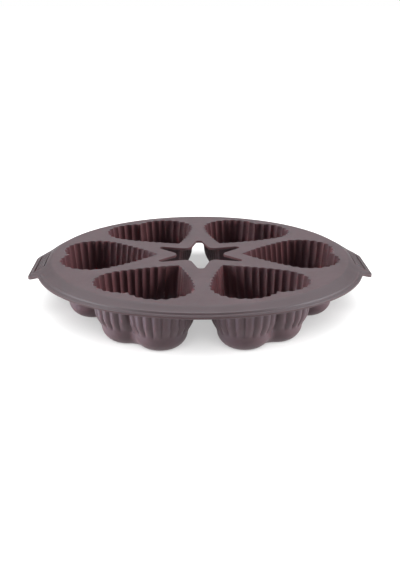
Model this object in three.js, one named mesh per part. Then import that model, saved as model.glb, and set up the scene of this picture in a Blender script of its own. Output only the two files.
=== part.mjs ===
// Silicone muffin mould: six fluted heart-shaped cups hang from a flat round deck with a star
// opening in its middle. A sloping brim with a ridge and a stepped lip runs round the deck, and two
// grip tabs with a ribbed panel stand at the left and the right.
// Millimetres, +Z up. The origin is on the floor under the middle of the star, +X through a grip.
import * as THREE from "three";

// Cup: a heart made of two round lobes and two long side arcs that meet in a tip
const CUP_COUNT = 6;
const CUP_DEPTH = 45;
const LOBE_RADIUS = 25.5;
const LOBE_SPREAD = 13.8; // half the distance between the two lobe centres
const TIP_LENGTH = 50.7; // tip to the lobe centres, along the cup's axis
const SIDE_RADIUS = 160;
const WALL = 2;
const DRAFT_ANGLE = 7;

// Flutes of a cup: round ribs that stand outwards and meet in sharp grooves
const FLUTES_PER_SIDE = 8;
const FLUTES_PER_LOBE = 9; // the last of them ends in the notch
const TIP_FADE_FLUTES = 1.5; // flutes over which the grooves fade out towards the tip
const FLUTE_DEPTH_INSIDE = 1.8;
const FLUTE_DEPTH_OUTSIDE = 1.3;
const FLUTE_LENGTH = 31.8; // deck top to the lower ends of the flutes
const FLUTE_END_HEIGHT = 9; // over this height a flute bends in towards the plain base
const FLUTE_BEND = 3.5; // how far it bends in
const FLUTE_BEND_CURVE = 1.4; // 1 makes a straight slant, more bends it near the base
const GROOVE_RUNOUT = 2; // height over which a groove runs out at its lower end
const BASE_FILLET = 12.5;

// Deck between the cups
const DECK_THICKNESS = 2;
const WEB_WIDTH = 9.9; // deck left between two neighbouring cups at its narrowest
const DECK_MARGIN = 6.2; // deck left outside the cups
const STAR_BRIDGE = 15.1; // deck left between the star and a cup's tip
const STAR_ARM = 18.4; // reach of a star arm past the star's inner corners
const STAR_TIP_ROUND = 2.8;
const STAR_CORNER_ROUND = 6;

// Brim round the deck
const BRIM_WIDTH = 12.3;
const BRIM_DROP = 4.4; // mean drop of the brim's outer edge below the deck
const BRIM_SWAY = 1.4; // the edge hangs this much lower at the grips and higher between them
const BRIM_CURVE = 1.6; // 1 makes a straight slope, more bends it near the deck
const BEND_WIDTH = 2.5;
const RIDGE_SETBACK = 3.8; // ridge crest to the outer edge
const RIDGE_WIDTH = 1.6;
const RIDGE_HEIGHT = 0.4;
const LEDGE_STEP = 0.8; // step down from the slope to the ledge outside the ridge
const LIP_STEP = 1.3; // step down from the slope to the lip outside the ledge
const LIP_WIDTH = 1.4;
const LIP_HEIGHT = 2.8;
const LIP_CHAMFER = 0.6;

// Grip tabs
const GRIP_ANGLE = 15; // half the angle that a grip takes out of the brim
const GRIP_REACH = 5; // tab edge past the brim's outer edge
const GRIP_HALF_WIDTH = 25;
const GRIP_CORNER = 4;
const GRIP_DROP = 9.1; // drop of the tab's straight edge below the deck
const GRIP_LIP_HEIGHT = 3.9;
const PANEL_HALF_LENGTH = 18;
const PANEL_MARGIN = 0.1; // panel to the foot of the tab's ridge
const PANEL_WIDTH = 7.6;
const PANEL_DEPTH = 0.6;
const PANEL_RIBS = 4;
const PANEL_RIB_HEIGHT = 0.5;
const PANEL_END_SLOPE = 0.6;

// Facets
const POINTS_PER_FLUTE = 3;
const BEND_SHARE = 0.3; // how far down the bend of a flute its upper level lies
const FILLET_STEPS = 3;
const RIM_STEP_ANGLE = 9;
const CORNER_STEPS = 2;
const STAR_ROUND_STEPS = 2;
const SAME_ANGLE = 1e-6; // angles closer than this are one

const { degToRad, lerp } = THREE.MathUtils;
const HALF_SECTOR = Math.PI / CUP_COUNT;
const FLUTES_PER_HALF = FLUTES_PER_SIDE + FLUTES_PER_LOBE;
const FLUTES = 2 * FLUTES_PER_HALF;

// Cup outline in its own axes: u runs outwards from the mould's centre, v across the cup.
// The lobe centres lie where neighbouring lobes keep the web's width between them.
const LOBE_REACH = LOBE_RADIUS + WEB_WIDTH / 2;
const LOBE_U = (LOBE_REACH + LOBE_SPREAD * Math.cos(HALF_SECTOR)) / Math.sin(HALF_SECTOR);
const TIP_U = LOBE_U - TIP_LENGTH;
const NOTCH_U = LOBE_U + Math.sqrt(LOBE_RADIUS ** 2 - LOBE_SPREAD ** 2);
const SIDE_CENTRE = sideArcCentre();
const SIDE_END_ANGLE = Math.atan2(LOBE_SPREAD - SIDE_CENTRE.y, LOBE_U - SIDE_CENTRE.x);
const NOTCH_ANGLE = Math.asin(LOBE_SPREAD / LOBE_RADIUS);
const LOBE_PITCH = (SIDE_END_ANGLE + NOTCH_ANGLE) / FLUTES_PER_LOBE;
const LAST_GROOVE_ANGLE = LOBE_PITCH - NOTCH_ANGLE;

// Deck, star and brim follow the cups
const DECK_TOP = CUP_DEPTH;
const DECK_UNDERSIDE = DECK_TOP - DECK_THICKNESS;
const DECK_RADIUS = Math.hypot(LOBE_U, LOBE_SPREAD) + LOBE_RADIUS + DECK_MARGIN;
const RIM_RADIUS = DECK_RADIUS + BRIM_WIDTH;
const STAR_INNER_RADIUS = TIP_U - STAR_BRIDGE;
const STAR_TIP_RADIUS = STAR_INNER_RADIUS + STAR_ARM;

const silicone = new THREE.MeshStandardMaterial({ color: 0x6f5d62, roughness: 0.55, metalness: 0 });

// Centre of the side arc that starts at the tip and runs smoothly into the lobe of the half v > 0
function sideArcCentre() {
  const tip = new THREE.Vector2(TIP_U, 0);
  const lobe = new THREE.Vector2(LOBE_U, LOBE_SPREAD);
  const along = lobe.clone().sub(tip);
  const span = along.length();
  along.divideScalar(span);
  const inner = SIDE_RADIUS - LOBE_RADIUS;
  const near = (SIDE_RADIUS ** 2 - inner ** 2 + span ** 2) / (2 * span);
  const away = Math.sqrt(SIDE_RADIUS ** 2 - near ** 2);
  return new THREE.Vector2(tip.x + along.x * near + along.y * away, along.y * near - along.x * away);
}

function onCircle(u, v, radius, angle) {
  return new THREE.Vector2(u + radius * Math.cos(angle), v + radius * Math.sin(angle));
}

// Point on the half outline v > 0 of a heart that lies `inset` inside the cup's mouth.
// `flute` counts flutes from the tip: along the side, round the lobe, and the last one to the notch.
function halfHeartPoint(flute, inset) {
  if (flute < FLUTES_PER_SIDE) {
    const radius = SIDE_RADIUS - inset;
    const start = Math.PI - Math.asin(-SIDE_CENTRE.y / radius);
    const angle = lerp(start, SIDE_END_ANGLE, flute / FLUTES_PER_SIDE);
    return onCircle(SIDE_CENTRE.x, SIDE_CENTRE.y, radius, angle);
  }
  const lobe = LOBE_RADIUS - inset;
  const lobeFlute = flute - FLUTES_PER_SIDE;
  const share = lobeFlute - (FLUTES_PER_LOBE - 1);
  if (share <= 0) {
    return onCircle(LOBE_U, LOBE_SPREAD, lobe, SIDE_END_ANGLE - lobeFlute * LOBE_PITCH);
  }
  if (inset <= 0) {
    const angle = lerp(LAST_GROOVE_ANGLE, -Math.asin(LOBE_SPREAD / lobe), share);
    return onCircle(LOBE_U, LOBE_SPREAD, lobe, angle);
  }
  const lobeLength = lobe * LOBE_PITCH;
  const run = share * (lobeLength + inset * NOTCH_ANGLE);
  if (run < lobeLength) {
    return onCircle(LOBE_U, LOBE_SPREAD, lobe, LAST_GROOVE_ANGLE - run / lobe);
  }
  return onCircle(NOTCH_U, 0, inset, Math.PI - NOTCH_ANGLE + (run - lobeLength) / inset);
}

// Depth of the scallop at a place counted in flutes from the tip: 0 on a crest, 1 in a groove
function scallop(flute) {
  const phase = flute % 1;
  const fade = Math.min(1, Math.min(flute, FLUTES - flute) / TIP_FADE_FLUTES);
  return fade * (2 * phase - 1) ** 2;
}

// Fluted outline, counter-clockwise from the tip, the half v < 0 first
function heartOutline(inset, fluteDepth, pointsPerFlute) {
  const count = FLUTES * pointsPerFlute;
  return Array.from({ length: count }, (_, i) => {
    const flute = i / pointsPerFlute;
    const half = Math.min(flute, FLUTES - flute);
    const point = halfHeartPoint(half, inset + fluteDepth * scallop(flute));
    point.y *= flute < FLUTES_PER_HALF ? -1 : 1;
    return point;
  });
}

// Closed solid through rings of points. A ring has as many points as its neighbour, or a whole
// multiple. `outline` gives a ring in flat coordinates, for the caps on the first and the last ring.
function loft(rings, outline) {
  const starts = [];
  const positions = [];
  for (const ring of rings) {
    starts.push(positions.length / 3);
    ring.forEach((p) => positions.push(p.x, p.y, p.z));
  }
  const faces = [];
  for (let k = 0; k + 1 < rings.length; k++) {
    stitch(faces, starts[k], rings[k].length, starts[k + 1], rings[k + 1].length);
  }
  addCap(faces, outline(rings[0]), starts[0], true);
  addCap(faces, outline(rings.at(-1)), starts.at(-1), false);
  const geometry = new THREE.BufferGeometry();
  geometry.setAttribute("position", new THREE.Float32BufferAttribute(positions, 3));
  geometry.setIndex(faces);
  geometry.computeVertexNormals();
  return geometry;
}

function stitch(faces, a, aCount, b, bCount) {
  const steps = Math.min(aCount, bCount);
  const aStep = aCount / steps;
  const bStep = bCount / steps;
  for (let i = 0; i < steps; i++) {
    const aAt = (j) => a + ((i * aStep + j) % aCount);
    const bAt = (j) => b + ((i * bStep + j) % bCount);
    for (let j = 0; j < aStep; j++) faces.push(aAt(j), aAt(j + 1), bAt(0));
    for (let j = 0; j < bStep; j++) faces.push(aAt(aStep), bAt(j + 1), bAt(j));
  }
}

function addCap(faces, outline, start, isFirst) {
  const turned = isFirst !== THREE.ShapeUtils.isClockWise(outline);
  for (const [a, b, c] of THREE.ShapeUtils.triangulateShape(outline, [])) {
    if (turned) faces.push(start + c, start + b, start + a);
    else faces.push(start + a, start + b, start + c);
  }
}

// One wall surface of a cup as levels from the top down: how deep below the deck top, how far inside
// the mouth outline, how deep the flutes are. `inward` is 0 for the outer wall, WALL for the inner.
// `bendShares` says how far down the bent lower end of the flutes the levels with full grooves lie.
function cupLevels(inward, fluteDepth, bendShares) {
  const taper = Math.tan(degToRad(DRAFT_ANGLE));
  const crest = (depth) => depth * taper - WALL + inward;
  const fluteEnd = FLUTE_LENGTH - inward / 2;
  const base = crest(fluteEnd) + FLUTE_BEND;
  const fillet = BASE_FILLET - inward;
  const filletTop = CUP_DEPTH - BASE_FILLET;
  const filletInset = (angle) => base + fillet * (1 - Math.cos(angle));
  const filletStart = Math.asin(Math.max(0, fluteEnd - filletTop) / fillet);
  const levels = [{ depth: DECK_THICKNESS, inset: crest(DECK_THICKNESS), flute: fluteDepth }];
  for (const share of bendShares) {
    const depth = fluteEnd - FLUTE_END_HEIGHT * (1 - share);
    const bend = FLUTE_BEND * share ** FLUTE_BEND_CURVE;
    levels.push({ depth, inset: crest(depth) + bend, flute: fluteDepth });
  }
  levels.push({ depth: fluteEnd, inset: filletInset(filletStart), flute: 0 });
  for (let i = 1; i <= FILLET_STEPS; i++) {
    const angle = lerp(filletStart, Math.PI / 2, i / FILLET_STEPS);
    levels.push({ depth: filletTop + fillet * Math.sin(angle), inset: filletInset(angle), flute: 0 });
  }
  return levels;
}

function cupRing({ depth, inset, flute }) {
  const points = heartOutline(inset, flute, flute > 0 ? POINTS_PER_FLUTE : 1);
  return points.map((p) => new THREE.Vector3(p.x, p.y, DECK_TOP - depth));
}

function cupGeometry() {
  const runout = 1 - GROOVE_RUNOUT / FLUTE_END_HEIGHT;
  const outer = cupLevels(0, FLUTE_DEPTH_OUTSIDE, [BEND_SHARE, runout]).reverse();
  const inner = cupLevels(WALL, FLUTE_DEPTH_INSIDE, [BEND_SHARE]);
  const rings = [...outer, ...inner].map(cupRing);
  return loft(rings, (ring) => ring.map((p) => new THREE.Vector2(p.x, p.y)));
}

// Angles at which the deck's edge, the brim and the grips have their points
function rimAngles() {
  const grip = gripOutline().map((p) => Math.atan2(p.y, p.x));
  const webBorders = Array.from({ length: CUP_COUNT / 2 - 1 }, (_, k) => 2 * HALF_SECTOR * (k + 1));
  const brim = [degToRad(GRIP_ANGLE)];
  for (const end of [...webBorders, Math.PI - degToRad(GRIP_ANGLE)]) {
    const start = brim.at(-1);
    const steps = Math.round((end - start) / degToRad(RIM_STEP_ANGLE));
    for (let i = 1; i <= steps; i++) brim.push(lerp(start, end, i / steps));
  }
  return { grip, brim };
}

// Outline of the right grip's tab from its root at -GRIP_ANGLE to its root at +GRIP_ANGLE
function gripOutline() {
  const edge = RIM_RADIUS + GRIP_REACH;
  const root = new THREE.Vector2(RIM_RADIUS, 0).rotateAround(new THREE.Vector2(), degToRad(GRIP_ANGLE));
  const corner = new THREE.Vector2(edge, GRIP_HALF_WIDTH);
  const sideways = root.clone().sub(corner).setLength(GRIP_CORNER);
  const before = corner.clone().add(sideways);
  const after = new THREE.Vector2(edge, GRIP_HALF_WIDTH - GRIP_CORNER);
  const round = new THREE.QuadraticBezierCurve(after, corner, before).getPoints(CORNER_STEPS);
  const half = [
    new THREE.Vector2(edge, PANEL_HALF_LENGTH - PANEL_END_SLOPE),
    new THREE.Vector2(edge, PANEL_HALF_LENGTH),
    ...round,
    root,
  ];
  const mirrored = half.map((p) => new THREE.Vector2(p.x, -p.y)).reverse();
  return [...mirrored, new THREE.Vector2(edge, 0), ...half];
}

function edgeDrop(angle) {
  return BRIM_DROP + BRIM_SWAY * Math.cos(2 * angle);
}

// Height of the sloping brim at a share of the way from the deck to the outer edge
function slope(share, drop) {
  return DECK_TOP - drop * (1 - (1 - share) ** BRIM_CURVE);
}

// Section of brim or grip at an angle, clockwise from the deck's edge: over the top, back underneath.
// `top` lists places on the top as [distance from the deck, height over the slope], up to the ridge.
function section(angle, width, drop, lipHeight, top) {
  const profile = [...top, ...edgeTop(width)].map(
    ([at, rise]) => new THREE.Vector2(at, slope(at / width, drop) + rise),
  );
  const lipBottom = DECK_TOP - drop - lipHeight;
  profile.push(new THREE.Vector2(width, lipBottom));
  profile.push(new THREE.Vector2(width - LIP_WIDTH, lipBottom));
  for (const at of [width - LIP_WIDTH, width / 2, BEND_WIDTH, 0]) {
    profile.push(new THREE.Vector2(at, slope(at / width, drop) - DECK_THICKNESS - lipRelief(at, width)));
  }
  return profile.map(({ x, y }) => {
    const radius = DECK_RADIUS + x;
    return new THREE.Vector3(radius * Math.cos(angle), radius * Math.sin(angle), y);
  });
}

// The underside keeps clear of the ledge that is let into the top
function lipRelief(at, width) {
  return at > width / 2 ? LEDGE_STEP / 2 : 0;
}

// Where the ridge starts to rise, as a distance from the deck
function ridgeFoot(width) {
  return width - RIDGE_SETBACK - RIDGE_WIDTH / 2;
}

// Outer part of a section's top: the ridge, the ledge and the lip
function edgeTop(width) {
  const ridge = width - RIDGE_SETBACK;
  return [
    [ridgeFoot(width), 0],
    [ridge, RIDGE_HEIGHT],
    [ridge + RIDGE_WIDTH / 2, -LEDGE_STEP],
    [width - LIP_WIDTH, -LEDGE_STEP],
    [width - LIP_CHAMFER, -LIP_STEP],
    [width, -LIP_STEP - LIP_CHAMFER],
  ];
}

function brimSection(angle) {
  return section(angle, BRIM_WIDTH, edgeDrop(angle), LIP_HEIGHT, [[0, 0], [BEND_WIDTH, 0]]);
}

function gripSection(point) {
  const angle = Math.atan2(point.y, point.x);
  const width = point.length() - DECK_RADIUS;
  const edge = RIM_RADIUS + GRIP_REACH;
  const fullWidth = edge - DECK_RADIUS;
  const rootAngle = degToRad(GRIP_ANGLE);
  const rootX = RIM_RADIUS * Math.cos(rootAngle);
  const tab = (point.x - rootX) / (edge - rootX);
  const drop = lerp(edgeDrop(rootAngle), GRIP_DROP, tab);
  const onPanel = Math.abs(point.y) < PANEL_HALF_LENGTH && point.x === edge ? 1 : 0;
  const top = [[0, 0], [BEND_WIDTH, 0]];
  const stretch = (ridgeFoot(width) - BEND_WIDTH) / (ridgeFoot(fullWidth) - BEND_WIDTH);
  const steps = 2 * PANEL_RIBS + 2;
  for (let i = 0; i <= steps; i++) {
    const toRidge = PANEL_MARGIN + PANEL_WIDTH * (1 - i / steps);
    const at = ridgeFoot(width) - toRidge * stretch;
    const ribbed = i % 2 ? -PANEL_DEPTH : PANEL_RIB_HEIGHT - PANEL_DEPTH;
    const atRim = i === 0 || i === steps;
    top.push([at, atRim ? 0 : ribbed * onPanel]);
  }
  return section(angle, width, drop, lerp(LIP_HEIGHT, GRIP_LIP_HEIGHT, tab), top);
}

function sectionOutline(ring) {
  return ring.map((p) => new THREE.Vector2(Math.hypot(p.x, p.y), p.z));
}

function brimGeometry() {
  return loft(rimAngles().brim.map(brimSection), sectionOutline);
}

function gripGeometry() {
  return loft(gripOutline().map(gripSection), sectionOutline);
}

// Half a star arm, from the inner corner in front of a cup's tip to the end of the arm. The round of
// the corner and the round of the arm's end are joined by the straight line that touches both.
function halfStarArm() {
  const corner = new THREE.Vector2(STAR_INNER_RADIUS + STAR_CORNER_ROUND, 0);
  const endRadius = STAR_TIP_RADIUS - STAR_TIP_ROUND;
  const end = new THREE.Vector2(endRadius * Math.cos(HALF_SECTOR), endRadius * Math.sin(HALF_SECTOR));
  const across = end.clone().sub(corner);
  const touch = across.angle() + Math.acos((STAR_CORNER_ROUND + STAR_TIP_ROUND) / across.length());
  const points = [];
  for (let i = 0; i <= STAR_ROUND_STEPS; i++) {
    const angle = lerp(Math.PI, touch, i / STAR_ROUND_STEPS);
    points.push(onCircle(corner.x, corner.y, STAR_CORNER_ROUND, angle));
  }
  for (let i = 0; i <= STAR_ROUND_STEPS; i++) {
    const angle = lerp(touch - Math.PI, HALF_SECTOR, i / STAR_ROUND_STEPS);
    points.push(onCircle(end.x, end.y, STAR_TIP_ROUND, angle));
  }
  return points;
}

// Flat web of the deck between cup k and cup k + 1, from the star's edge out to the brim
function webGeometry(k) {
  const turn = (p, cup) => p.clone().rotateAround(new THREE.Vector2(), 2 * HALF_SECTOR * cup);
  const mouth = heartOutline(0, FLUTE_DEPTH_INSIDE, POINTS_PER_FLUTE);
  const middle = FLUTES_PER_HALF * POINTS_PER_FLUTE;
  const nearHalf = mouth.slice(middle).concat(mouth[0]);
  const farHalf = mouth.slice(0, middle + 1);
  const arm = halfStarArm();
  const armBack = arm.slice(0, -1).map((p) => new THREE.Vector2(p.x, -p.y)).reverse();
  const start = 2 * HALF_SECTOR * k;
  const edge = deckEdgeAngles(start, start + 2 * HALF_SECTOR);
  const outline = [
    ...[...nearHalf, ...arm].map((p) => turn(p, k)),
    ...[...armBack, ...farHalf].map((p) => turn(p, k + 1)),
    ...edge.map((angle) => onCircle(0, 0, DECK_RADIUS, angle)),
  ];
  const geometry = new THREE.ExtrudeGeometry(new THREE.Shape(outline), {
    depth: DECK_THICKNESS,
    bevelEnabled: false,
  });
  return geometry.translate(0, 0, DECK_UNDERSIDE);
}

// The deck's edge between two angles, from the second back to the first, in the brim's own steps
function deckEdgeAngles(start, end) {
  const { grip, brim } = rimAngles();
  const once = [...grip, ...brim, ...grip.map((a) => a + Math.PI), ...brim.map((a) => a + Math.PI)];
  const inside = once
    .map((angle) => (angle < start - SAME_ANGLE ? angle + 2 * Math.PI : angle))
    .filter((angle) => angle > start + SAME_ANGLE && angle < end - SAME_ANGLE)
    .sort((a, b) => b - a)
    .filter((angle, i, all) => i === 0 || all[i - 1] - angle > SAME_ANGLE);
  return [end, ...inside, start];
}

const mould = new THREE.Group();

function addMesh(name, geometry, turn = 0) {
  const mesh = new THREE.Mesh(geometry, silicone);
  mesh.name = name;
  mesh.rotation.z = turn;
  mould.add(mesh);
}

for (let k = 0; k < CUP_COUNT; k++) {
  addMesh(`heart_cup_${k + 1}`, cupGeometry(), 2 * HALF_SECTOR * k);
  addMesh(`deck_web_${k + 1}`, webGeometry(k));
}
addMesh("brim_back", brimGeometry());
addMesh("brim_front", brimGeometry(), Math.PI);
addMesh("grip_right", gripGeometry());
addMesh("grip_left", gripGeometry(), Math.PI);

export default mould;
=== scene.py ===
"""Silicone muffin mould with six fluted heart cups, built as an add-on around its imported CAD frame.

Metres, +Z up. The origin is on the floor under the middle of the star opening, +X through the right grip.
"""

import math
from typing import NamedTuple

import bmesh
import bpy
from bpy.props import FloatProperty, FloatVectorProperty, IntProperty, PointerProperty
from bpy.types import Operator, Panel, PropertyGroup
from mathutils import Matrix, Quaternion, Vector
from mathutils.geometry import tessellate_polygon


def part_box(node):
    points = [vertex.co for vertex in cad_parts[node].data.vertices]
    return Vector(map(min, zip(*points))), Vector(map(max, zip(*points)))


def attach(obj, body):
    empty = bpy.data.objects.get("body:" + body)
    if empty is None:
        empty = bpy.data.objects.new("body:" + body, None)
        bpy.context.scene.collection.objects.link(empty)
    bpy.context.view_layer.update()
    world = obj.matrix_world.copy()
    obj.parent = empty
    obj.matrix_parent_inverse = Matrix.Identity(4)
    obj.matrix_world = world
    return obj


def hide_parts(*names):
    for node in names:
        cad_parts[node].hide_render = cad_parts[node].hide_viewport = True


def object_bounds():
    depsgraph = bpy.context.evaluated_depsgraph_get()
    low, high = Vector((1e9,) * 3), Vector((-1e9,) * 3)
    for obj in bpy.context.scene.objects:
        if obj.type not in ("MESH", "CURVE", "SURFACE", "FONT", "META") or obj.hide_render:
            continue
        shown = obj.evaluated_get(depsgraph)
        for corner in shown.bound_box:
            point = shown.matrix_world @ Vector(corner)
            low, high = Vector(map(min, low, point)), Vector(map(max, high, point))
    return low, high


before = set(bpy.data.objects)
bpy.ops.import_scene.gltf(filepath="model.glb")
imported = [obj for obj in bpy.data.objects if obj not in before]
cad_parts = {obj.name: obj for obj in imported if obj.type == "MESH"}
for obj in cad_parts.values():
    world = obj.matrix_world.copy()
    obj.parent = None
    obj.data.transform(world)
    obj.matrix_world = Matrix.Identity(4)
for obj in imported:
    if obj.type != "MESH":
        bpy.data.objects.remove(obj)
CAD_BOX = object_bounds()

bl_info = {
    "name": "Heart muffin mould",
    "version": (1, 0, 0),
    "blender": (4, 5, 0),
    "location": "3D View > Sidebar > Mould",
    "description": "Builds a silicone muffin mould with fluted heart cups, a star deck, a brim and grips",
    "category": "Add Mesh",
}

BODY = "root"
MATERIAL = "Satin silicone"
DECK_TOP = CAD_BOX[1].z
RIM_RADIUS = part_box("brim_back")[1].y
TAB_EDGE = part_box("grip_right")[1].x
MIDDLE = Vector((0.0, 0.0))
WHITE = (1.0, 1.0, 1.0, 1.0)

# Collections that a light can be kept to
EDGE = "Mould edge"
INSIDE = "Mould deck and cups"
CUPS = "Mould cups"
FLOOR = "Only the floor"

# Point attributes that carry the rules of flutes and ribs into the node trees
ATTRIBUTES = ("flute_place", "flute_share", "inner_wall", "to_groove", "rib_place", "panel_distance")
FLUTE_PLACE, FLUTE_SHARE, INNER_WALL, TO_GROOVE, RIB_PLACE, PANEL_DISTANCE = ATTRIBUTES

# Settings that the two node trees take as inputs
CUP_INPUTS = (
    "tip_fade", "tip_fade_outside", "groove_round", "rib_flatness", "depth_inside", "depth_outside"
)
GRIP_INPUTS = (
    "panel_depth", "panel_border", "panel_groove", "groove_depth", "rib_height", "rib_flatness"
)

# Fineness of the meshes
POINTS_PER_FLUTE = 12
GATHER_AT_GROOVES = 0.5  # 0 spreads a flute's points evenly, towards 1 they gather at its grooves
STRAIGHT_LEVELS = 8
BEND_LEVELS = 16
BASE_LEVELS = 5
FILLET_LEVELS = 14
ROUND_STEPS = 5
STAR_ROUND_STEPS = 10
BRIM_STEP_ANGLE = math.radians(0.75)
GRIP_STEP_ANGLE = math.radians(0.25)
SECTION_STEPS = 120
UNDERSIDE_STEPS = 12
SOFTENING_SAMPLES = 9

# Fixed numbers of the shape
HOLD = 1.3  # radii from a rounded edge to the ring that keeps the flat face beside it flat
LIP_FOOT = 0.7  # foot of the lip's step, as a share of the lip's setback
TAB_EASE = 0.3  # softness of the change from brim to tab
TAB_REACH = 3  # root angles from a tab's middle beyond which the edge is round
SIDE_STRIP = 0.5  # strip beside the ribs along each long side of a panel, in ribs
OFF_PANEL = -1.0  # distance into the panel that is stored for points that aren't on the top

# Fixed numbers of the look
FACING = (0.25, 0.6)  # upward part of the normal over which wall colours turn into the greyer top colours, a painted sheen that stands in for the sky's reflection on faces that look up
FACING_SHARE = 0.5  # share of the colour scale that this turn takes, the patches take the rest
TINT_STOPS = (0.15, 0.35, 0.65, 0.85)  # places of the four colours on that scale
PATCH_DETAIL = 3.0
FINE_DETAIL = 2.0
GLOSS_PATCHES = 4  # patches of gloss along one patch of colour
SILICONE_IOR = 1.43
FLOOR_ROUGHNESS = 0.9
LIGHT_WALL_BACK = (0.1, 0.55)  # backward part of a direction over which the light wall fades in
LIGHT_WALL_UP = (0.24, 0.72)  # upward part of a direction over which it fades in


def setting(kind, **fixed):
    """Short form of a property, which then takes a name, a description, a default and its own limits."""

    def short(name, description, default, **limits):
        """One property of that kind."""
        return kind(name=name, description=description, default=default, **{**fixed, **limits})

    return short


length = setting(FloatProperty, unit="LENGTH", subtype="DISTANCE", precision=4)
rotation = setting(FloatProperty, unit="ROTATION", subtype="ANGLE")
share = setting(FloatProperty, min=0.0, max=1.0, subtype="FACTOR", precision=3)
number = setting(FloatProperty, min=0.0, precision=2)
whole = setting(IntProperty, min=1)
colour = setting(FloatVectorProperty, size=3, min=0.0, max=1.0, subtype="COLOR")


def angle(name, description, degrees):
    """An angle, given in degrees and stored in radians."""
    return rotation(name, description, math.radians(degrees))


class CupSizes(PropertyGroup):
    """Sizes of one fluted heart cup."""

    count: whole("Cups", "Cups round the star", 6, min=3)
    lobe_radius: length("Lobe radius", "Radius of a lobe at the mouth", 0.0255)
    lobe_spread: length("Lobe spread", "Half the distance between the two lobe centres", 0.0138)
    tip_length: length("Tip length", "Tip to the lobe centres along the cup's axis", 0.0507)
    side_radius: length("Side radius", "Radius of the long arcs between tip and lobes", 0.16)
    wall: length("Wall", "Thickness of the wall", 0.002)
    draft: angle("Draft", "Taper of the wall", 7.0)
    flutes: whole("Flutes", "Flutes round a cup, two of them meeting in the notch", 35)
    flutes_per_side: whole("Flutes per side", "Flutes on a side arc", 8, min=2)
    tip_fade: number("Tip fade inside", "Flutes over which inner ridges rise", 3.0, min=0.1)
    tip_fade_outside: number("Tip fade outside", "Flutes over which outer grooves deepen", 5.0, min=0.1)
    depth_inside: length("Ridge height inside", "Height of the ridges between inner scallops", 0.0019)
    depth_outside: length("Groove depth outside", "Depth of the grooves between outer ribs", 0.002)
    groove_round: share("Groove round", "Roundness of the ridges and grooves", 0.10)
    rib_flatness: share("Rib flatness", "1 gives round outer ribs, less flattens them", 0.65)
    flute_length: length("Flute length", "Deck top to the lower ends of the flutes", 0.0318)
    end_height: length("Flute end", "Height over which a flute bends in at its lower end", 0.009)
    end_bend: length("Flute bend", "How far a flute bends in at its lower end", 0.0035)
    bend_curve: number("Bend curve", "1 makes a straight slant, more bends it near the base", 1.4, min=1.0)
    runout: length("Groove run-out", "Height over which a groove runs out at its lower end", 0.005)
    softening: length("Softening", "Height over which the kink above the base is rounded off", 0.002)
    base_fillet: length("Base fillet", "Radius between the base and its flat floor", 0.013)
    mouth_round: length("Mouth round", "Radius of the mouth's edge", 0.0004)
    collar: length("Collar", "Flat deck round the mouth that belongs to the cup", 0.0028)
    root_fillet: length("Root fillet", "Radius between the deck's underside and the outer wall", 0.0008)


class DeckSizes(PropertyGroup):
    """Sizes of the flat deck and its star opening."""

    thickness: length("Thickness", "Thickness of the deck", 0.002)
    web_width: length("Web width", "Deck between two neighbouring cups at its narrowest", 0.0099)
    margin: length("Margin", "Deck outside the cups", 0.0062)
    star_bridge: length("Star bridge", "Deck between the star and a cup's tip", 0.0151)
    star_arm: length("Star arm", "Reach of an arm past the star's inner corners", 0.0184)
    arm_round: length("Arm round", "Radius of an arm's end", 0.0028)
    corner_round: length("Corner round", "Radius of the star's inner corners", 0.006)
    edge_round: length("Edge round", "Radius of the star's upper and lower edges", 0.0005)


class BrimSizes(PropertyGroup):
    """Sizes of the sloping brim."""

    rim_radius: length("Rim radius", "Radius of the brim's outer edge", RIM_RADIUS)
    drop: length("Drop", "Mean drop of the outer edge below the deck", 0.0044)
    sway: length("Sway", "How much lower the edge hangs at the grips", 0.0014)
    curve: number("Curve", "1 makes a straight slope, more bends it near the deck", 1.6, min=1.0)
    bend: length("Bend", "Softness of the bend at the deck's edge", 0.002)
    ridge_setback: length("Ridge setback", "Ridge crest to the outer edge", 0.0033)
    ridge_width: length("Ridge width", "Width of the ridge's inner flank", 0.0014)
    ridge_height: length("Ridge height", "Height of the ridge over the slope", 0.0002)
    ledge_setback: length("Ledge setback", "Inner end of the ledge to the outer edge", 0.0022)
    ledge_step: length("Ledge step", "Step down from the slope to the ledge", 0.0007)
    lip_setback: length("Lip setback", "Inner end of the lip to the outer edge", 0.0010)
    lip_step: length("Lip step", "Step down from the slope to the lip", 0.0011)
    lip_height: length("Lip height", "Height of the lip's outer face, from the slope's end", 0.0028)
    lip_width: length("Lip width", "Thickness of the lip", 0.0014)
    lip_round: length("Lip round", "Radius of the lip's edges", 0.0006)
    softening: length("Softening", "Width over which ridge and steps are rounded off", 0.0003)


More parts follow.
